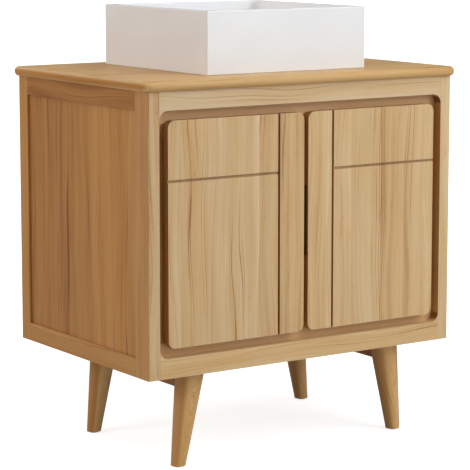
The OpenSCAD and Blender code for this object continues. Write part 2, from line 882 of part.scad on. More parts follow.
module door_bumpers() {
    t = back_gap - catch_play;
    color("whitesmoke") for (s = [-1, 1], z = bumper_zs)
        translate([s * catch_x, y_inner - t, z]) rod_y(bumper_r, t);
}

// ---------------------------------------------------------------- legs

// Full cone of the front left leg, running past both ends
module leg_cone(y) {
    over = 0.1;                     // share of the leg's length by which each end runs past
    taper = (leg_foot_d - leg_top_d) / 2;
    r_low = leg_foot_d / 2 + over * taper;
    r_high = leg_top_d / 2 - over * taper;
    translate([-leg_x, y, leg_h]) rotate([0, leg_tilt, 0]) translate([0, 0, -leg_len * (1 + over)])
        cylinder(r1 = r_low, r2 = r_high, h = leg_len * (1 + 2 * over));
}

module leg(s, y) {
    color(dark_wood) on_side(s) difference() {
        intersection() {
            leg_cone(y);
            block([-x_side, y - leg_top_d, glide_t], [0, y + leg_top_d, leg_h]);
        }
        translate([-leg_x, y, leg_h - leg_bolt_in]) cylinder(r = leg_bolt_r, h = leg_bolt_in + eps);
        translate([-leg_x - leg_splay, y, 0]) cylinder(r = glide_nail_r, h = glide_nail_len + glide_t);
    }
}

// Children stand at each leg's top, at the floor's level
module for_legs() {
    for (s = [-1, 1], y = [leg_y_front, leg_y_back]) translate([s * leg_x, y, 0]) children();
}

module leg_rail(s) {
    x = -leg_x - leg_rail_out;
    color(dark_wood) on_side(s) difference() {
        block(
            [x - leg_rail_w / 2, leg_y_front, leg_h - leg_rail_h],
            [x + leg_rail_w / 2, leg_y_back, leg_h]
        );
        leg_cone(leg_y_front);
        leg_cone(leg_y_back);
        for_rail_screws() {
            cylinder(r = rail_screw_r, h = leg_rail_h);
            translate([0, 0, -rail_screw_sink - eps])
                cylinder(r = rail_screw_head_r, h = rail_screw_sink + eps);
        }
    }
}

module leg_bolts() {
    z_top = leg_h + bottom_t;
    bolt_len = leg_bolt_in + bottom_t + washer_t + nut_t + bolt_past_nut;
    color(metal) for_legs() {
        translate([0, 0, leg_h - leg_bolt_in]) cylinder(r = leg_bolt_r, h = bolt_len);
        difference() {
            union() {
                translate([0, 0, z_top]) cylinder(r = washer_r, h = washer_t);
                translate([0, 0, z_top + washer_t]) cylinder(r = leg_nut_r, h = nut_t, $fn = 6);
            }
            translate([0, 0, z_top - eps]) cylinder(r = leg_bolt_r, h = nut_t + washer_t + 2 * eps);
        }
    }
}

module foot_glides() {
    color("gainsboro") for (s = [-1, 1], y = [leg_y_front, leg_y_back])
        translate([s * (leg_x + leg_splay), y, 0]) {
            cylinder(r = glide_r, h = glide_t);
            translate([0, 0, glide_t]) cylinder(r = glide_nail_r, h = glide_nail_len);
        }
}

// ---------------------------------------------------------------- screws of the cabinet

// Slab screws, at the body's top
module for_slab_screws() {
    for (s = [-1, 1], y = [y_face + slab_screw_front, y_back - slab_screw_back])
        translate([s * (x_open + slab_screw_in), y, z_body_top]) children();
}

module slab_screw_hole() {
    translate([0, 0, -top_rail_h - eps]) cylinder(r = slab_screw_head_r, h = slab_screw_sink + eps);
    translate([0, 0, -top_rail_h]) cylinder(r = slab_screw_r, h = top_rail_h + eps);
}

// Leg rail screws, at the leg rail's counterbores
module for_rail_screws() {
    for (s = [-1, 1], y = [leg_y_front + rail_screw_from_leg, leg_y_back - rail_screw_from_leg])
        translate([s * (leg_x + leg_rail_out), y, leg_h - leg_rail_h + rail_screw_sink]) children();
}

// Back panel screws, on the panel's back face
module for_back_screws() {
    y = y_back_rails + back_t;
    for (s = [-1, 1], z = [leg_h + back_screw_end, leg_h + body_h / 2, z_body_top - back_screw_end])
        translate([s * (x_open + back_rebate / 2), y, z]) children();
    for (x = [-0.75, 0, 0.75] * x_open, z = [leg_h + back_screw_low, z_body_top - back_screw_top])
        translate([x, y, z]) children();
}

module back_screw_hole() {
    translate([0, -back_screw_len, 0]) rod_y(back_screw_r, back_screw_len + back_recess + eps);
}

// Wall-fixing holes' axes, at the fixing rail's front
module for_fixing_holes() {
    for (s = [-1, 1])
        translate([s * fixing_spacing / 2, y_back_rails - back_rail_t - eps, fixing_z]) children();
}

module cabinet_screws() {
    slab_screw_l = top_rail_h - slab_screw_sink + slab_screw_len;
    color(metal) {
        for_slab_screws() translate([0, 0, -top_rail_h + slab_screw_sink])
            screw(slab_screw_r, slab_screw_l, slab_screw_head_r, slab_screw_head_t);
        for_rail_screws() screw(rail_screw_r, rail_screw_len, rail_screw_head_r, rail_screw_head_t);
        for_back_screws() rotate([90, 0, 0])
            screw(back_screw_r, back_screw_len, back_screw_head_r, back_screw_head_t);
    }
}

// ---------------------------------------------------------------- nodes

top_slab();
basin();
basin_seal();
waste_body();
drain_seals();
waste_nut();
waste_plug();
plug_stem();
trap_inlet_nut();
trap_body();
trap_cup();
trap_outlet_nut();
outlet_pipe();
front_post(-1);  // front_post_left
front_post(1);  // front_post_right
back_post(-1);  // back_post_left
back_post(1);  // back_post_right
face_top_rail();
face_bottom_rail();
inner_stile(-1);  // inner_stile_left
inner_stile(1);  // inner_stile_right
inner_top_rail();
inner_bottom_rail();
centre_mullion();
side_rail(-1, z_open_top, z_body_top);  // side_top_rail_left
side_rail(1, z_open_top, z_body_top);  // side_top_rail_right
side_rail(-1, leg_h, z_open_low - panel_drop);  // side_bottom_rail_left
side_rail(1, leg_h, z_open_low - panel_drop);  // side_bottom_rail_right
side_panel(-1);  // side_panel_left
side_panel(1);  // side_panel_right
back_panel();
back_fixing_rail();
back_bottom_rail();
bottom_panel();
shelf();
shelf_pins();
door(-1);  // left_door
door(1);  // right_door
hinge_frame_leaves(-1);  // left_hinge_frame_leaves
hinge_door_leaves(-1);  // left_hinge_door_leaves
hinge_pins(-1);  // left_hinge_pins
hinge_frame_leaves(1);  // right_hinge_frame_leaves
hinge_door_leaves(1);  // right_hinge_door_leaves
hinge_pins(1);  // right_hinge_pins
hinge_screws_frame();
door_screws(-1);  // left_door_screws
door_screws(1);  // right_door_screws
magnetic_catches();
strike_plate(-1);  // left_strike_plate
strike_plate(1);  // right_strike_plate
door_bumpers();
leg(-1, leg_y_front);  // leg_front_left
leg(1, leg_y_front);  // leg_front_right
leg(-1, leg_y_back);  // leg_back_left
leg(1, leg_y_back);  // leg_back_right
leg_rail(-1);  // leg_rail_left
leg_rail(1);  // leg_rail_right
leg_bolts();
foot_glides();
cabinet_screws();
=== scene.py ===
"""Looks of a wooden vanity on splayed legs with a square ceramic vessel basin.

Every visible shape is a CAD node. This script eases its edges with modifiers, and gives it a procedural
material: lacquered solid wood whose grain and boards run the way each timber is cut, glazed ceramic,
plated metal, moulded plastic and rubber. It also makes the floor, the lights and the camera.
"""

import json
import math

import bpy
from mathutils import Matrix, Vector


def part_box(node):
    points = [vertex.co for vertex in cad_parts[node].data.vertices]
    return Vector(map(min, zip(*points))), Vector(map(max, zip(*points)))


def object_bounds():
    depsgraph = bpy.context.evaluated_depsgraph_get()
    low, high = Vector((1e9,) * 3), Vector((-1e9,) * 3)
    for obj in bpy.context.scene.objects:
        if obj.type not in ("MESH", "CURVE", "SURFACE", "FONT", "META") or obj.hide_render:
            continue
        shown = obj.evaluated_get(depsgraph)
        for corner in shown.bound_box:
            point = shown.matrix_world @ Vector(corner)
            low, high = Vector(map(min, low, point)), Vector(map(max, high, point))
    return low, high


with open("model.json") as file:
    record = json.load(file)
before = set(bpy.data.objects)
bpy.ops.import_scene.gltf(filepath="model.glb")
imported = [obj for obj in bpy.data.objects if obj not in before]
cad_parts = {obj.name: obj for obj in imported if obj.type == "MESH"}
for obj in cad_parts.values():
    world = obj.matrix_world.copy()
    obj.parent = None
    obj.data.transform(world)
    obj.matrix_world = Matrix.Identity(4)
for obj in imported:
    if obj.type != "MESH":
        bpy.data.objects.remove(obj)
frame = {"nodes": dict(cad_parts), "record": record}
cad_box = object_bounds()

X, Y, Z = 0, 1, 2
MM = 0.001


# ------------------------------------------------------------------ node graphs

class Graph:
    """Adds nodes to a tree. Each method takes sockets or constants, and returns an output socket."""

    def __init__(self, tree):
        self.tree = tree

    def node(self, kind, **settings):
        made = self.tree.nodes.new(kind)
        for name, value in settings.items():
            setattr(made, name, value)
        return made

    def feed(self, value, socket):
        if isinstance(value, bpy.types.NodeSocket):
            self.tree.links.new(value, socket)
        else:
            socket.default_value = value

    def math(self, operation, *values, clamp=False):
        made = self.node("ShaderNodeMath", operation=operation, use_clamp=clamp)
        for value, socket in zip(values, made.inputs):
            self.feed(value, socket)
        return made.outputs[0]

    def plus(self, a, b):
        return self.math("ADD", a, b)

    def minus(self, a, b):
        return self.math("SUBTRACT", a, b)

    def times(self, a, b):
        return self.math("MULTIPLY", a, b)

    def over(self, a, b):
        return self.math("DIVIDE", a, b)

    def times_plus(self, a, b, c):
        return self.math("MULTIPLY_ADD", a, b, c)

    def vector(self, operation, *values):
        made = self.node("ShaderNodeVectorMath", operation=operation)
        for value, socket in zip(values, made.inputs):
            self.feed(value, socket)
        return made.outputs["Value" if operation in ("LENGTH", "DOT_PRODUCT") else "Vector"]

    def combine(self, x, y, z):
        made = self.node("ShaderNodeCombineXYZ")
        for value, socket in zip((x, y, z), made.inputs):
            self.feed(value, socket)
        return made.outputs[0]

    def separate(self, vector):
        made = self.node("ShaderNodeSeparateXYZ")
        self.feed(vector, made.inputs[0])
        return made.outputs

    def noise(self, vector, detail=2.0, distortion=0.0):
        """Noise from 0 to 1, whose grains are about one unit of the vector across."""
        made = self.node("ShaderNodeTexNoise", noise_dimensions="3D")
        self.feed(vector, made.inputs["Vector"])
        made.inputs["Scale"].default_value = 1.0
        made.inputs["Detail"].default_value = detail
        made.inputs["Roughness"].default_value = 0.5
        made.inputs["Distortion"].default_value = distortion
        return made.outputs[0]

    def remap(self, value, low, high, to_low=0.0, to_high=1.0, smooth=False):
        """Turns a range of values into another one, and holds what lies outside it at its ends."""
        made = self.node("ShaderNodeMapRange", clamp=True,
                         interpolation_type="SMOOTHSTEP" if smooth else "LINEAR")
        for item, socket in zip((value, low, high, to_low, to_high), made.inputs):
            self.feed(item, socket)
        return made.outputs[0]

    def mix(self, factor, a, b, blend="MIX"):
        made = self.node("ShaderNodeMix", data_type="RGBA", blend_type=blend, clamp_factor=True)
        self.feed(factor, made.inputs[0])
        self.feed(rgba(a), made.inputs[6])
        self.feed(rgba(b), made.inputs[7])
        return made.outputs[2]

    def tint(self, amount, colour, tone):
        """The colour multiplied by the tone, as far as the amount says."""
        return self.mix(amount, colour, tone, blend="MULTIPLY")


def rgba(colour):
    return (*colour, 1.0) if isinstance(colour, tuple) and len(colour) == 3 else colour


def srgb(red, green, blue):
    """Linear colour of an sRGB colour whose channels run from 0 to 255."""
    def linear(channel):
        channel /= 255
        return channel / 12.92 if channel <= 0.04045 else ((channel + 0.055) / 1.055) ** 2.4
    return tuple(linear(channel) for channel in (red, green, blue))


def new_material(name):
    """A material with one Principled shader, as (material, graph, shader)."""
    material = bpy.data.materials.new(name)
    material.use_nodes = True
    graph = Graph(material.node_tree)
    return material, graph, material.node_tree.nodes["Principled BSDF"]


def object_point(graph, order=(X, Y, Z), sizes=(1.0, 1.0, 1.0), shift=(0.0, 0.0, 0.0)):
    """The object's own coordinates in millimetres: reordered, divided by a grain size each way, moved."""
    source = graph.node("ShaderNodeTexCoord").outputs["Object"]
    axes = graph.separate(source)
    point = graph.combine(*(axes[axis] for axis in order))
    point = graph.vector("MULTIPLY", point, tuple(1 / (MM * size) for size in sizes))
    return graph.vector("ADD", point, shift)


def facing(graph, axis, low, high):
    """1 on faces that look along the axis either way, 0 on the others."""
    normal = graph.separate(graph.node("ShaderNodeNewGeometry").outputs["Normal"])[axis]
    return graph.remap(graph.math("ABSOLUTE", normal), low, high, smooth=True)


def edge_mask(graph, radius):
    """1 on edges and corners, 0 on flat faces."""
    bevel = graph.node("ShaderNodeBevel", samples=4)
    bevel.inputs["Radius"].default_value = radius
    normal = graph.node("ShaderNodeNewGeometry").outputs["Normal"]
    evenness = graph.vector("DOT_PRODUCT", bevel.outputs[0], normal)
    return graph.remap(evenness, 0.995, 0.85)


def add_bump(graph, shader, height, distance, strength):
    bump = graph.node("ShaderNodeBump")
    bump.inputs["Strength"].default_value = strength
    bump.inputs["Distance"].default_value = distance
    graph.feed(height, bump.inputs["Height"])
    graph.tree.links.new(bump.outputs[0], shader.inputs["Normal"])


# ------------------------------------------------------------------ wood

# The figure, with its sizes in millimetres
BOARD_UNEVENNESS = 0.7    # 0 for boards of one width, 1 for widths at random
BOARD_JUMP = 437.0        # greatest distance in the pattern between two boards
SEAM_WIDTH = 0.7
WANDER = 46.0             # how far the fibres swerve sideways
RING_WIDTH = 9.0
RING_UNEVENNESS = 3.0     # how far rings may lie out of place, in rings
RING_EDGE = 0.95          # where in a ring its dark late wood ends
PITH_DEPTH = 24.0
PITH_DEPTH_SPREAD = 50.0  # how much the pith's place differs between boards: in depth,
PITH_SIDE_SPREAD = 110.0  # sideways,
PITH_SLOPE_SPREAD = 0.13  # and in its slope against the board
USUAL_VALUE = 0.38        # where plain wood lies from pale, 0, over warm, 0.5, to dark, 1

# Tones that tint the wood
RUDDY = (1.0, 0.90, 0.82)
HONEY = (1.0, 0.94, 0.76)
GOLDEN = (1.0, 0.93, 0.78)
COOL = (0.97, 1.0, 1.08)
PORE = (0.55, 0.42, 0.30)
# End grain's own darker tone, made dark enough to also paint the shade on edges such as the doors' tops
END_GRAIN_AND_SHADE = (0.42, 0.31, 0.21)
# Painted shade for the floors of grooves
GROOVE_SHADE = (0.60, 0.46, 0.30)

# Pale sapwood, the usual tone and the dark streaks of each set of tones. SHADED_SIDE and SHADED_FLANK are
# painted shade:
# darker, more saturated copies of the same wood for the cabinet's left side, its inside and its recess, and
# for faces that look along X, where the key lamp gives little light
FRONT = (srgb(220, 192, 148), srgb(202, 166, 117), srgb(153, 105, 57))
RAIL = (srgb(223, 199, 162), srgb(206, 175, 132), srgb(163, 120, 77))
INNER = (srgb(222, 182, 136), srgb(206, 162, 114), srgb(156, 106, 64))
SHADED_SIDE = (srgb(190, 142, 80), srgb(170, 118, 57), srgb(118, 66, 24))
SHADED_FLANK = (srgb(206, 160, 104), srgb(188, 140, 82), srgb(136, 84, 40))
SLAB = (srgb(217, 184, 134), srgb(201, 161, 106), srgb(156, 110, 60))
LEG = (srgb(226, 190, 134), srgb(208, 163, 102), srgb(150, 101, 48))

# How far apart two timbers lie in the pattern: in millimetres each way, and in boards
TIMBER_STEP = (0.0, 37.0, 211.0)
TIMBER_BOARDS = 7.31

# Seeds: timbers count from 1, plywood from PLY_SEED, and ends with a grain of their own add ENDS_SEED
PLY_SEED = 41
ENDS_SEED = 50

LEG_SPLAY = 28 / 190      # a leg steps 28 mm sideways over its height of 190 mm, and its fibres follow


def wood_group():
    """Lacquered solid wood. Its point is in millimetres: x across boards, y through them, z along them."""
    tree = bpy.data.node_groups.new("solid_wood", "ShaderNodeTree")
    inputs = {"Point": "Vector", "Board": "Float", "Seed": "Float", "Pale": "Color", "Warm": "Color",
              "Dark": "Color", "Contrast": "Float", "Board Contrast": "Float"}
    outputs = {"Color": "Color", "Roughness": "Float", "Height": "Float"}
    for way, sockets in (("INPUT", inputs), ("OUTPUT", outputs)):
        for name, kind in sockets.items():
            tree.interface.new_socket(name, in_out=way, socket_type=f"NodeSocket{kind}")
    graph = Graph(tree)
    given = graph.node("NodeGroupInput").outputs
    across, depth, along = graph.separate(given["Point"])

    # Boards of uneven width, glued side by side
    place = graph.plus(graph.over(across, given["Board"]), given["Seed"])

    def board_cells(feature):
        cells = graph.node("ShaderNodeTexVoronoi", voronoi_dimensions="1D", feature=feature)
        cells.inputs["Scale"].default_value = 1.0
        cells.inputs["Randomness"].default_value = BOARD_UNEVENNESS
        graph.feed(place, cells.inputs["W"])
        return cells.outputs

    boards = board_cells("F1")
    tone, turn, lean = graph.separate(boards["Color"])
    seam = graph.times(board_cells("DISTANCE_TO_EDGE")["Distance"], given["Board"])
    seam = graph.remap(seam, 0.0, SEAM_WIDTH, 1.0, 0.0)

    # Each board has its own place in the tree, so its figure differs from its neighbours'
    jump = graph.times(turn, BOARD_JUMP)

    def patches(sideways, width, length, detail, distortion=0.0):
        """Noise in patches that are drawn out along the grain."""
        x, y, z = graph.over(sideways, width), graph.plus(depth, jump), graph.over(along, length)
        return graph.noise(graph.combine(x, y, z), detail, distortion)

    swerve = patches(across, width=90.0, length=360.0, detail=1.0)
    bent = graph.plus(across, graph.times(graph.minus(swerve, 0.5), WANDER))

    # Growth rings: cylinders round a pith that leans against the board. It lies farther to the side the
    # higher the seed, so on a board's face the rings are nearly straight lines
    pith_x = graph.minus(graph.times(turn, PITH_SIDE_SPREAD), PITH_SIDE_SPREAD / 2)
    local = graph.minus(bent, graph.times(boards["W"], given["Board"]))
    slope = graph.times(graph.minus(lean, 0.5), PITH_SLOPE_SPREAD)
    pith_y = graph.plus(graph.times(along, slope), graph.times_plus(tone, PITH_DEPTH_SPREAD, PITH_DEPTH))
    from_pith = graph.combine(graph.minus(local, pith_x), graph.plus(depth, pith_y), 0.0)
    radius = graph.vector("LENGTH", from_pith)

    def ring_noise(width, length, offset=0.0):
        """Noise that follows the rings and changes slowly along the grain."""
        x, y, z = graph.over(radius, width), graph.plus(jump, offset), graph.over(along, length)
        return graph.noise(graph.combine(x, y, z), detail=1.0)

    unevenness = graph.times(ring_noise(width=13.0, length=900.0), RING_UNEVENNESS)
    ring = graph.math("FRACT", graph.plus(graph.over(radius, RING_WIDTH), unevenness))

    def ring_end(start, smooth=False):
        """Rises from a place in each ring to its edge, and falls steeply behind it."""
        rise = graph.remap(ring, start, RING_EDGE, smooth=smooth)
        return graph.times(rise, graph.remap(ring, RING_EDGE, 1.0, 1.0, 0.0))

    strong = graph.remap(ring_noise(width=19.0, length=260.0), 0.44, 0.72)
    late = graph.times(ring_end(0.45, smooth=True), strong)

    # Some rings end in a thin dark line, and each such line fades in and out along the grain
    marked = graph.remap(ring_noise(width=8.0, length=330.0, offset=91.0), 0.48, 0.64)
    line = graph.times(ring_end(0.80), marked)

    def streak(width, length, offset, detail):
        """Noise in streaks along the grain that are as thick as they are wide."""
        x = graph.over(bent, width)
        y = graph.over(graph.plus(depth, jump), width)
        z = graph.plus(graph.over(along, length), offset)
        return graph.noise(graph.combine(x, y, z), detail)

    broad = streak(width=21.0, length=480.0, offset=3.0, detail=1.0)
    narrow = streak(width=5.5, length=300.0, offset=11.0, detail=1.5)
    fibre = streak(width=0.8, length=34.0, offset=29.0, detail=2.0)
    pores = graph.remap(streak(width=0.45, length=9.0, offset=47.0, detail=0.0), 0.66, 0.80)
    cloud = patches(bent, width=30.0, length=90.0, detail=2.0)
    fleck = patches(bent, width=5.0, length=24.0, detail=1.0, distortion=0.6)
    fleck = graph.times(graph.remap(fleck, 0.60, 0.74), graph.remap(cloud, 0.48, 0.62))

    # One value from pale to dark: each part of the figure, from its middle value, times its weight
    grain = 0.0
    for part, middle, weight in ((broad, 0.5, 0.75), (narrow, 0.5, 0.36), (fibre, 0.5, 0.20),
                                 (late, 0.0, 0.20), (line, 0.0, 0.66), (fleck, 0.0, 0.15)):
        grain = graph.times_plus(graph.minus(part, middle), weight, grain)
    grain = graph.times(grain, given["Contrast"])
    boardy = graph.times(graph.minus(tone, 0.5), given["Board Contrast"])
    value = graph.math("ADD", graph.plus(grain, boardy), USUAL_VALUE, clamp=True)

    colour = graph.mix(graph.remap(value, 0.0, 0.5), given["Pale"], given["Warm"])
    colour = graph.mix(graph.remap(value, 0.5, 1.0), colour, given["Dark"])
    for where, amount, tone_there in ((graph.remap(cloud, 0.46, 0.70), 0.40, RUDDY),
                                      (graph.remap(broad, 0.50, 0.66), 0.35, HONEY),
                                      (graph.remap(lean, 0.55, 0.70), given["Board Contrast"], GOLDEN),
                                      (graph.remap(lean, 0.45, 0.25), 0.30, COOL),
                                      (pores, 0.14, PORE), (seam, 0.22, PORE)):
        colour = graph.tint(graph.times(where, amount), colour, tone_there)

    rough = graph.times_plus(late, -0.05, graph.times_plus(fibre, 0.10, 0.42))
    height = graph.times_plus(fibre, 0.5, graph.times(narrow, 0.20))
    height = graph.minus(height, graph.times(graph.plus(pores, seam), 0.45))

    result = graph.node("NodeGroupOutput").inputs
    graph.feed(colour, result["Color"])
    graph.feed(rough, result["Roughness"])
    graph.feed(height, result["Height"])
    return tree


WOOD = wood_group()


def wood_colour(graph, grain, across, tones, seed, board, contrast, board_contrast, slant=0.0):
    """The wood group for fibres along the axis grain, and boards side by side along the axis across."""
    made = graph.node("ShaderNodeGroup", node_tree=WOOD)
    through = X + Y + Z - grain - across
    point = object_point(graph, (across, through, grain), shift=tuple(step * seed for step in TIMBER_STEP))
    if slant:
        along = graph.separate(point)[2]
        point = graph.vector("ADD", point, graph.combine(graph.times(along, slant), 0.0, 0.0))
    pale, warm, dark = tones
    given = {"Point": point, "Board": board, "Seed": TIMBER_BOARDS * seed, "Pale": pale, "Warm": warm,
             "Dark": dark, "Contrast": contrast, "Board Contrast": board_contrast}
    for key, value in given.items():
        graph.feed(rgba(value), made.inputs[key])
    return made.outputs


def groove_floor_shade(graph, front):
    """Mask for painted shade: 1 on the floors of grooves in a face that looks along -Y and lies at y =
    front, 0 elsewhere.
    """
    depth_mm = graph.minus(graph.separate(object_point(graph))[Y], front / MM)
    behind = graph.remap(depth_mm, 1.0, 2.5)
    shallow = graph.remap(depth_mm, 9.0, 11.0, 1.0, 0.0)
    return graph.times(facing(graph, Y, 0.7, 0.9), graph.times(behind, shallow))


def wood(name, grain, across, tones, seed, board=400.0, contrast=1.0, board_contrast=0.5, worn=0.35,
         shaded_flanks=None, turn=(0.45, 0.75), ends=None, slant=0.0, shine=0.4, shade_grooves_at=None):
    """Wood in boards that are about board millimetres wide.

    Faces that look along X may have their own tones, flanks, which are darker copies that paint shade on
    them, and their own grain axis, ends. turn says how far a face has to turn towards X for its flank's
    tones. The fibres may lean by a slant. The floors of grooves in the face at y = grooved are darkened as
    painted shade, and end grain is darkened partly as its own tone and partly as painted shade.
    """
    material, graph, shader = new_material(name)
    # Faces that look along X take the darker flank tones: painted shade
    if shaded_flanks:
        turned = facing(graph, X, *turn)
        tones = [graph.mix(turned, front, side) for front, side in zip(tones, shaded_flanks)]
    colour, rough, height = wood_colour(graph, grain, across, tones, seed, board, contrast,
                                        board_contrast, slant)
    # End grain darkened, partly as its own tone and partly as painted shade
    if ends is None:
        colour = graph.tint(graph.times(facing(graph, grain, 0.6, 0.85), 0.8), colour, END_GRAIN_AND_SHADE)
    else:
        turned = facing(graph, X, 0.3, 0.6)
        other = wood_colour(graph, ends, X + Y + Z - grain - ends, tones, seed + ENDS_SEED, board, contrast,
                            board_contrast)
        colour = graph.mix(turned, colour, other["Color"])
        height = graph.times(height, graph.minus(1.0, turned))
    # Painted shade: the floors of grooves are darkened as if in shadow
    if shade_grooves_at is not None:
        colour = graph.tint(graph.times(groove_floor_shade(graph, shade_grooves_at), 0.75), colour, GROOVE_SHADE)
    edges = graph.times(edge_mask(graph, 1.2 * MM), worn)
    colour = graph.mix(edges, colour, tones[0])
    graph.feed(colour, shader.inputs["Base Color"])
    graph.feed(graph.times_plus(edges, 0.12, rough), shader.inputs["Roughness"])
    shader.inputs["Specular IOR Level"].default_value = shine
    shader.inputs["Coat Weight"].default_value = shine / 4
    shader.inputs["Coat Roughness"].default_value = 0.40
    add_bump(graph, shader, height, distance=0.20 * MM, strength=0.4)
    return material


def plywood(name, thin, seed):
    """Lacquered plywood whose faces are veneered, and whose edges show the plies along the axis thin."""
    across = Y if thin == Z else Z
    # The side tones on these sheets are painted shade for the inside of the cabinet
    material = wood(name, X, across, SHADED_SIDE, seed, board=150.0, contrast=0.8, board_contrast=0.3, worn=0.2)
    graph = Graph(material.node_tree)
    shader = material.node_tree.nodes["Principled BSDF"]
    veneer = shader.inputs["Base Color"].links[0].from_socket
    pair_of_plies = 4.0
    ply = graph.math("FRACT", graph.over(graph.separate(object_point(graph))[thin], pair_of_plies))
    dark = graph.remap(graph.math("ABSOLUTE", graph.minus(ply, 0.5)), 0.20, 0.28)
    core = graph.mix(dark, srgb(176, 138, 94), srgb(122, 84, 50))
    fibres = graph.noise(object_point(graph, sizes=(1.5, 1.5, 0.6)), detail=3.0)
    core = graph.tint(fibres, core, (0.60, 0.52, 0.44))
    normal = graph.separate(graph.node("ShaderNodeNewGeometry").outputs["True Normal"])[thin]
    face = graph.remap(graph.math("ABSOLUTE", normal), 0.4, 0.6)
    graph.feed(graph.mix(face, core, veneer), shader.inputs["Base Color"])
    return material


# ------------------------------------------------------------------ other materials

def ceramic():
    """White glaze: even, with a slight waviness, a few specks and a paler film on the edges."""
    material, graph, shader = new_material("ceramic_glaze")
    drift = graph.noise(object_point(graph, sizes=(90.0, 90.0, 60.0)), detail=2.0)
    colour = graph.mix(graph.remap(drift, 0.3, 0.7), srgb(240, 240, 241), srgb(237, 237, 238))
    specks = graph.remap(graph.noise(object_point(graph, sizes=(1.4, 1.4, 1.4)), detail=0.0), 0.80, 0.86)
    colour = graph.mix(graph.times(specks, 0.25), colour, srgb(206, 200, 190))
    edges = graph.times(edge_mask(graph, 2.5 * MM), 0.35)
    colour = graph.mix(edges, colour, srgb(250, 248, 243))
    graph.feed(colour, shader.inputs["Base Color"])
    graph.feed(graph.remap(drift, 0.2, 0.8, 0.16, 0.24), shader.inputs["Roughness"])
    shader.inputs["Coat Weight"].default_value = 0.15
    shader.inputs["Coat Roughness"].default_value = 0.10
    ripple = graph.noise(object_point(graph, sizes=(14.0, 14.0, 14.0)), detail=1.0)
    add_bump(graph, shader, ripple, distance=0.12 * MM, strength=0.5)
    return material


def metal(name, tone, rough, brushed=None):
    """Plated metal with fine scratches, along the axis brushed if there is one, and rubbed edges."""
    material, graph, shader = new_material(name)
    sizes = [0.35, 0.35, 0.35]
    if brushed is not None:
        sizes[brushed] = 14.0
    scratch = graph.noise(object_point(graph, sizes=tuple(sizes)), detail=2.0)
    smear = graph.noise(object_point(graph, sizes=(11.0, 11.0, 11.0)), detail=2.0)
    dull = tuple(0.8 * channel for channel in tone)
    colour = graph.mix(graph.remap(smear, 0.35, 0.75), tone, dull)
    colour = graph.mix(graph.times(edge_mask(graph, 0.5 * MM), 0.4), colour, (0.9, 0.9, 0.9))
    graph.feed(colour, shader.inputs["Base Color"])
    shader.inputs["Metallic"].default_value = 1.0
    worn = graph.plus(graph.times(scratch, 0.6), graph.times(smear, 0.4))
    graph.feed(graph.remap(worn, 0.3, 0.7, *rough), shader.inputs["Roughness"])
    add_bump(graph, shader, scratch, distance=0.03 * MM, strength=0.4)
    return material


def moulded(name, tone, rough, mottle, grain_size=0.9, specular=0.5):
    """Moulded plastic or rubber: a fine spark-eroded skin, slight clouds in the tone, paler edges."""
    material, graph, shader = new_material(name)
    cloud = graph.noise(object_point(graph, sizes=(23.0, 23.0, 23.0)), detail=3.0)
    deep = tuple(channel * (1 - mottle) for channel in tone)
    colour = graph.mix(graph.remap(cloud, 0.3, 0.7), tone, deep)
    light = tuple(min(1.0, channel * 1.25 + 0.02) for channel in tone)
    colour = graph.mix(graph.times(edge_mask(graph, 0.6 * MM), 0.4), colour, light)
    graph.feed(colour, shader.inputs["Base Color"])
    skin = graph.noise(object_point(graph, sizes=(grain_size,) * 3), detail=2.0)
    graph.feed(graph.remap(skin, 0.3, 0.7, rough - 0.06, rough + 0.06), shader.inputs["Roughness"])
    shader.inputs["Specular IOR Level"].default_value = specular
    add_bump(graph, shader, skin, distance=0.05 * MM, strength=0.5)
    return material


# ------------------------------------------------------------------ dressing the CAD nodes

def ease(name, width, segments):
    """Rounds the sharp edges of a CAD node by a modifier; its mesh stays as it is."""
    item = frame["nodes"][name]
    weld = item.modifiers.new("weld", "WELD")
    weld.merge_threshold = 0.01 * MM
    flat = item.modifiers.new("flat_faces", "DECIMATE")
    flat.decimate_type = "DISSOLVE"
    flat.angle_limit = math.radians(0.3)
    bevel = item.modifiers.new("eased_edges", "BEVEL")
    bevel.width = width
    bevel.segments = segments
    bevel.limit_method = "ANGLE"
    bevel.angle_limit = math.radians(35)
    bevel.use_clamp_overlap = True
    bevel.harden_normals = False
    item.modifiers.new("face_normals", "WEIGHTED_NORMAL").keep_sharp = True


def dress(name, material, width, segments=2):
    """Gives a CAD node its material, and eases its edges by a width."""
    slots = frame["nodes"][name].data.materials
    slots.clear()
    slots.append(material)
    ease(name, width, segments)


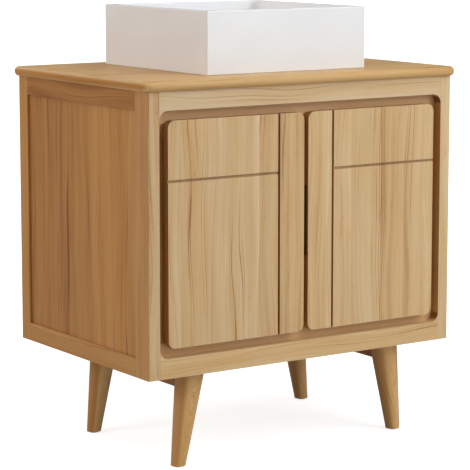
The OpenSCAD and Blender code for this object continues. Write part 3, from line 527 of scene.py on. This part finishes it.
def dress_wood():
    """Every timber has its own material, so that no two show the same piece of the pattern."""
    # The doors' darker tones on faces along X and their darkened groove floors are painted shade
    door_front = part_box("left_door")[0][Y]
    door = dict(board=62.0, board_contrast=0.25, shaded_flanks=SHADED_SIDE, shade_grooves_at=door_front)
    panel = dict(board=64.0, board_contrast=0.8, contrast=1.15)
    top = dict(board=110.0, board_contrast=0.35, contrast=0.9, ends=Y, shaded_flanks=SHADED_SIDE, turn=(0.60, 1.0),
               shine=0.15)

    # The side and flank tones are painted shade on the parts and faces that the key lamp leaves dark
    # node: grain axis, axis across the boards, tones, and what differs from the usual
    timbers = {
        "top_slab": (X, Y, SLAB, top),
        "left_door": (Z, X, FRONT, door),
        "right_door": (Z, X, FRONT, door),
        "side_panel_left": (Z, Y, SHADED_SIDE, panel),
        "side_panel_right": (Z, Y, SHADED_SIDE, panel),
        "face_top_rail": (X, Z, RAIL, dict(shaded_flanks=SHADED_SIDE, contrast=0.8)),
        "face_bottom_rail": (X, Z, FRONT, dict(shaded_flanks=SHADED_SIDE)),
        "inner_top_rail": (X, Z, INNER, dict(shaded_flanks=SHADED_SIDE)),
        "inner_bottom_rail": (X, Z, INNER, dict(shaded_flanks=SHADED_SIDE)),
        "centre_mullion": (Z, X, SHADED_SIDE, {}),
        "back_fixing_rail": (X, Z, SHADED_SIDE, {}),
        "back_bottom_rail": (X, Z, SHADED_SIDE, {}),
    }
    for side, slant in (("left", -LEG_SPLAY), ("right", LEG_SPLAY)):
        # The left back leg's faces along X take the darker side tones as painted shade, since they look
        # away from the key lamp
        back_shaded_flanks = SHADED_FLANK if side == "right" else SHADED_SIDE
        timbers[f"front_post_{side}"] = (Z, X, FRONT, dict(shaded_flanks=SHADED_FLANK))
        timbers[f"back_post_{side}"] = (Z, Y, SHADED_SIDE, dict(contrast=0.7))
        timbers[f"inner_stile_{side}"] = (Z, X, SHADED_FLANK, {})
        timbers[f"side_top_rail_{side}"] = (Y, Z, SHADED_SIDE, dict(contrast=0.6))
        timbers[f"side_bottom_rail_{side}"] = (Y, Z, SHADED_SIDE, dict(contrast=0.8))
        timbers[f"leg_rail_{side}"] = (Y, X, SHADED_SIDE, {})
        timbers[f"leg_front_{side}"] = (Z, X, LEG, dict(shaded_flanks=SHADED_FLANK, slant=slant))
        timbers[f"leg_back_{side}"] = (Z, X, LEG, dict(shaded_flanks=back_shaded_flanks, slant=slant))
    for seed, (name, (grain, across, tones, extra)) in enumerate(timbers.items(), start=1):
        in_front = name.endswith("door") or name.startswith("face")
        material = wood(f"wood_{name}", grain, across, tones, seed, **extra)
        dress(name, material, 0.6 * MM if in_front else 0.4 * MM)


def dress_rest():
    """The boards, the basin and the small parts, whose finish follows from their material slot."""
    sheets = {"bottom_panel": Z, "shelf": Z, "back_panel": Y}
    for seed, (name, thin) in enumerate(sheets.items(), start=PLY_SEED):
        dress(name, plywood(f"plywood_{name}", thin, seed), 0.3 * MM)
    dress("basin", ceramic(), 1.5 * MM, segments=3)
    by_slot = {
        "chrome": metal("chrome", (0.78, 0.78, 0.79), rough=(0.04, 0.12)),
        "steel": metal("zinc_plate", (0.56, 0.57, 0.58), rough=(0.24, 0.38), brushed=Z),
        "hinge_bronze": metal("antique_bronze", (0.36, 0.23, 0.12), rough=(0.38, 0.52), brushed=Z),
        "trap_plastic": moulded("trap_plastic", (0.80, 0.80, 0.79), rough=0.34, mottle=0.04),
        "seal_rubber": moulded("seal_rubber", (0.50, 0.50, 0.49), rough=0.72, mottle=0.12,
                               grain_size=0.5, specular=0.3),
        "glide_plastic": moulded("glide_plastic", (0.44, 0.42, 0.40), rough=0.55, mottle=0.10),
    }
    for part in frame["record"]["subparts"]:
        if part["material_slot"] in by_slot:
            dress(part["node"], by_slot[part["material_slot"]], 0.2 * MM)


# ------------------------------------------------------------------ studio

WHITE = (1.0, 1.0, 1.0)


def make_floor():
    """A pale floor that the camera sees as white, with only a faint shadow under the cabinet."""
    half = 30.0
    mesh = bpy.data.meshes.new("floor")
    corners = [(-half, -half, 0.0), (half, -half, 0.0), (half, half, 0.0), (-half, half, 0.0)]
    mesh.from_pydata(corners, [], [(0, 1, 2, 3)])
    floor = bpy.data.objects.new("floor", mesh)
    bpy.context.scene.collection.objects.link(floor)
    material, graph, shader = new_material("pale_floor")
    shader.inputs["Roughness"].default_value = 0.8
    shader.inputs["Specular IOR Level"].default_value = 0.0
    seen = graph.node("ShaderNodeLightPath").outputs["Is Camera Ray"]
    graph.feed(graph.mix(seen, (0.54, 0.535, 0.53), (0.55, 0.55, 0.55)), shader.inputs["Base Color"])
    away = graph.vector("LENGTH", graph.node("ShaderNodeTexCoord").outputs["Object"])
    glow = graph.remap(away, 0.5, 1.5, 0.78, 1.0, smooth=True)
    shader.inputs["Emission Color"].default_value = rgba(WHITE)
    graph.feed(graph.times(seen, glow), shader.inputs["Emission Strength"])
    mesh.materials.append(material)


def make_world():
    """Weak, slightly warm light from all round, and more from above; the camera sees plain white."""
    world = bpy.data.worlds.new("studio")
    bpy.context.scene.world = world
    world.use_nodes = True
    graph = Graph(world.node_tree)
    world.node_tree.nodes.clear()
    height = graph.separate(graph.node("ShaderNodeTexCoord").outputs["Generated"])[Z]
    light = graph.mix(graph.remap(height, 0.1, 1.0), (0.22, 0.215, 0.205), (0.72, 0.73, 0.73))
    soft = graph.node("ShaderNodeBackground")
    graph.feed(light, soft.inputs["Color"])
    plain = graph.node("ShaderNodeBackground")
    plain.inputs["Color"].default_value = rgba(WHITE)
    seen = graph.node("ShaderNodeLightPath").outputs["Is Camera Ray"]
    mixer = graph.node("ShaderNodeMixShader")
    graph.feed(seen, mixer.inputs[0])
    graph.tree.links.new(soft.outputs[0], mixer.inputs[1])
    graph.tree.links.new(plain.outputs[0], mixer.inputs[2])
    output = graph.node("ShaderNodeOutputWorld")
    graph.tree.links.new(mixer.outputs[0], output.inputs["Surface"])


def make_lamp(name, azimuth, height, distance, size, power, colour):
    """A square area lamp that faces the object; azimuth 0 is in front of it, and +90 on its +X side."""
    low, high = cad_box
    middle = (Vector(low) + Vector(high)) / 2
    turn, rise = math.radians(azimuth), math.radians(height)
    way = Vector((math.sin(turn) * math.cos(rise), -math.cos(turn) * math.cos(rise), math.sin(rise)))
    lamp = bpy.data.lights.new(name, "AREA")
    lamp.size = size
    lamp.energy = power
    lamp.color = colour
    item = bpy.data.objects.new(name, lamp)
    item.location = middle + way * distance
    item.rotation_euler = (-way).to_track_quat("-Z", "Y").to_euler()
    bpy.context.scene.collection.objects.link(item)


def make_lamps():
    """A large key lamp at the front right, and weaker ones that fill the front, the back and the left."""
    make_lamp("key", azimuth=34.0, height=39.0, distance=3.6, size=2.6, power=68.0,
              colour=(0.97, 1.0, 1.03))
    make_lamp("front_fill", azimuth=20.0, height=15.0, distance=5.0, size=2.6, power=37.0,
              colour=(0.98, 1.0, 1.02))
    make_lamp("back_fill", azimuth=-160.0, height=30.0, distance=4.0, size=1.4, power=16.0,
              colour=(1.0, 0.99, 0.97))
    make_lamp("side_fill", azimuth=-100.0, height=20.0, distance=3.4, size=1.2, power=32.0,
              colour=(1.0, 0.87, 0.80))


def make_camera():
    """A long lens from the left of the front and slightly above, as in a catalogue picture."""
    azimuth = -34.095
    looks_down = 7.781
    data = bpy.data.cameras.new("camera")
    data.sensor_width = 36.0
    data.lens = 157.08
    data.shift_y = -0.08
    camera = bpy.data.objects.new("camera", data)
    camera.location = (-2.3522, -3.4705, 1.0588)
    camera.rotation_euler = (math.radians(90 - looks_down), 0.0, math.radians(azimuth))
    bpy.context.scene.collection.objects.link(camera)
    bpy.context.scene.camera = camera


make_camera()
dress_wood()
dress_rest()
make_floor()
make_world()
make_lamps()
bpy.context.scene.view_settings.view_transform = "Standard"
